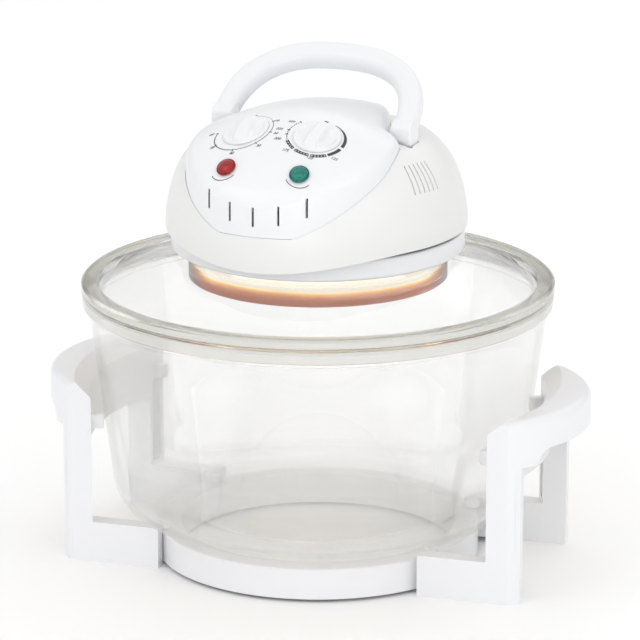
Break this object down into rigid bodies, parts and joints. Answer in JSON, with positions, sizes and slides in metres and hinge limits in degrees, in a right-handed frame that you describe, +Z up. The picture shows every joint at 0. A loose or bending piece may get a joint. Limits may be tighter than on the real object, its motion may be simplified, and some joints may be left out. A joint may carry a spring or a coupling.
{
  "type": "halogen oven",
  "caption": "Glass bowl on a white stand with side handles, under a lift-off glass lid that carries a lamp and fan head with dials and a swinging handle.",
  "frame": {"origin": "on the table under the middle of the overall size, which is the bowl's axis", "axes": "+X to the right, across both stand handles; -Y towards the side that the dials face; +Z up"},
  "size_m": [0.4, 0.3396, 0.3688],
  "materials": {
    "white_plastic": "smooth white moulding, slight gloss",
    "housing_plastic": "smooth warm white moulding",
    "clear_glass": "clear tempered glass, slightly smoky edge",
    "chromed_wire": "bright plated wire",
    "polished_steel": "bright sheet steel",
    "aluminium": "plain pressed sheet",
    "motor_iron": "stacked iron sheets",
    "coil_wire": null,
    "bronze_bush": "sintered bronze",
    "quartz_tube": "quartz glass",
    "lamp_ceramic": null,
    "silicone": "soft grey silicone",
    "black_nylon": "black nylon",
    "red_lens": null,
    "green_lens": null
  },
  "bodies": {
    "stand": {"base_ring": "white_plastic", "handle_frame_left": "white_plastic", "handle_frame_right": "white_plastic", "bowl_pad_front_left": "silicone", "bowl_pad_front_right": "silicone", "bowl_pad_rear_left": "silicone", "bowl_pad_rear_right": "silicone", "stand_screw_front_left": "polished_steel", "stand_screw_front_right": "polished_steel", "stand_screw_rear_left": "polished_steel", "stand_screw_rear_right": "polished_steel"},
    "bowl": {"glass_bowl": "clear_glass"},
    "handle": {"carry_handle": "white_plastic"},
    "timer_dial": {"timer_knob": "white_plastic", "timer_shaft": "polished_steel"},
    "temperature_dial": {"temp_knob": "white_plastic", "temp_shaft": "polished_steel"},
    "fan_rotor": {"fan_shaft": "polished_steel", "convection_fan": "aluminium", "cooling_fan": "black_nylon", "fan_nut": "bronze_bush", "motor_rotor": "motor_iron"},
    "lid": {"lid_ring": "white_plastic", "control_panel": "white_plastic", "ring_gasket": "silicone", "metal_collar": "polished_steel", "reflector_plate": "polished_steel", "motor_bracket": "polished_steel", "upper_bridge": "polished_steel", "timer_unit": "polished_steel", "thermostat": "polished_steel", "handle_pin_left": "polished_steel", "handle_pin_right": "polished_steel", "housing_screw_1": "polished_steel", "housing_screw_2": "polished_steel", "housing_screw_3": "polished_steel", "glass_lid": "clear_glass", "guard_grille": "chromed_wire", "lamp_clip_left": "chromed_wire", "lamp_clip_right": "chromed_wire", "temperature_probe": "chromed_wire", "halogen_tube": "quartz_tube", "power_lamp": "quartz_tube", "heat_lamp": "quartz_tube", "lamp_end_cap_left": "lamp_ceramic", "lamp_end_cap_right": "lamp_ceramic", "heat_shield": "aluminium", "safety_switch": "black_nylon", "cord_inlet": "black_nylon", "lower_bush": "bronze_bush", "upper_bush": "bronze_bush", "motor_stator": "motor_iron", "motor_coil": "coil_wire", "head_housing": "housing_plastic", "power_lens": "red_lens", "heat_lens": "green_lens"}
  },
  "joints": [
    {"name": "bowl_lift", "type": "slide", "parent": "stand", "child": "bowl", "axis": [0, 0, 1], "range_m": [0, 0.2]},
    {"name": "lid_lift", "type": "slide", "parent": "bowl", "child": "lid", "axis": [0, 0, 1], "range_m": [0, 0.2]},
    {"name": "handle_swing", "type": "hinge", "parent": "lid", "child": "handle", "pos_m": [-0.00065, -0.00747, 0.3165], "axis": [0.9962, -0.0872, 0], "range_deg": [-10, 50]},
    {"name": "timer_turn", "type": "hinge", "parent": "lid", "child": "timer_dial", "pos_m": [-0.03269, -0.06389, 0.32577], "axis": [0.1961, 0.347, -0.9171], "range_deg": [0, 300]},
    {"name": "temperature_turn", "type": "hinge", "parent": "lid", "child": "temperature_dial", "pos_m": [0.0211, -0.0686, 0.32577], "axis": [-0.1328, 0.3758, -0.9171], "range_deg": [0, 290]},
    {"name": "fan_spin", "type": "hinge", "parent": "lid", "child": "fan_rotor", "pos_m": [0, 0, 0.26], "axis": [0, 0, 1], "continuous": true}
  ]
}
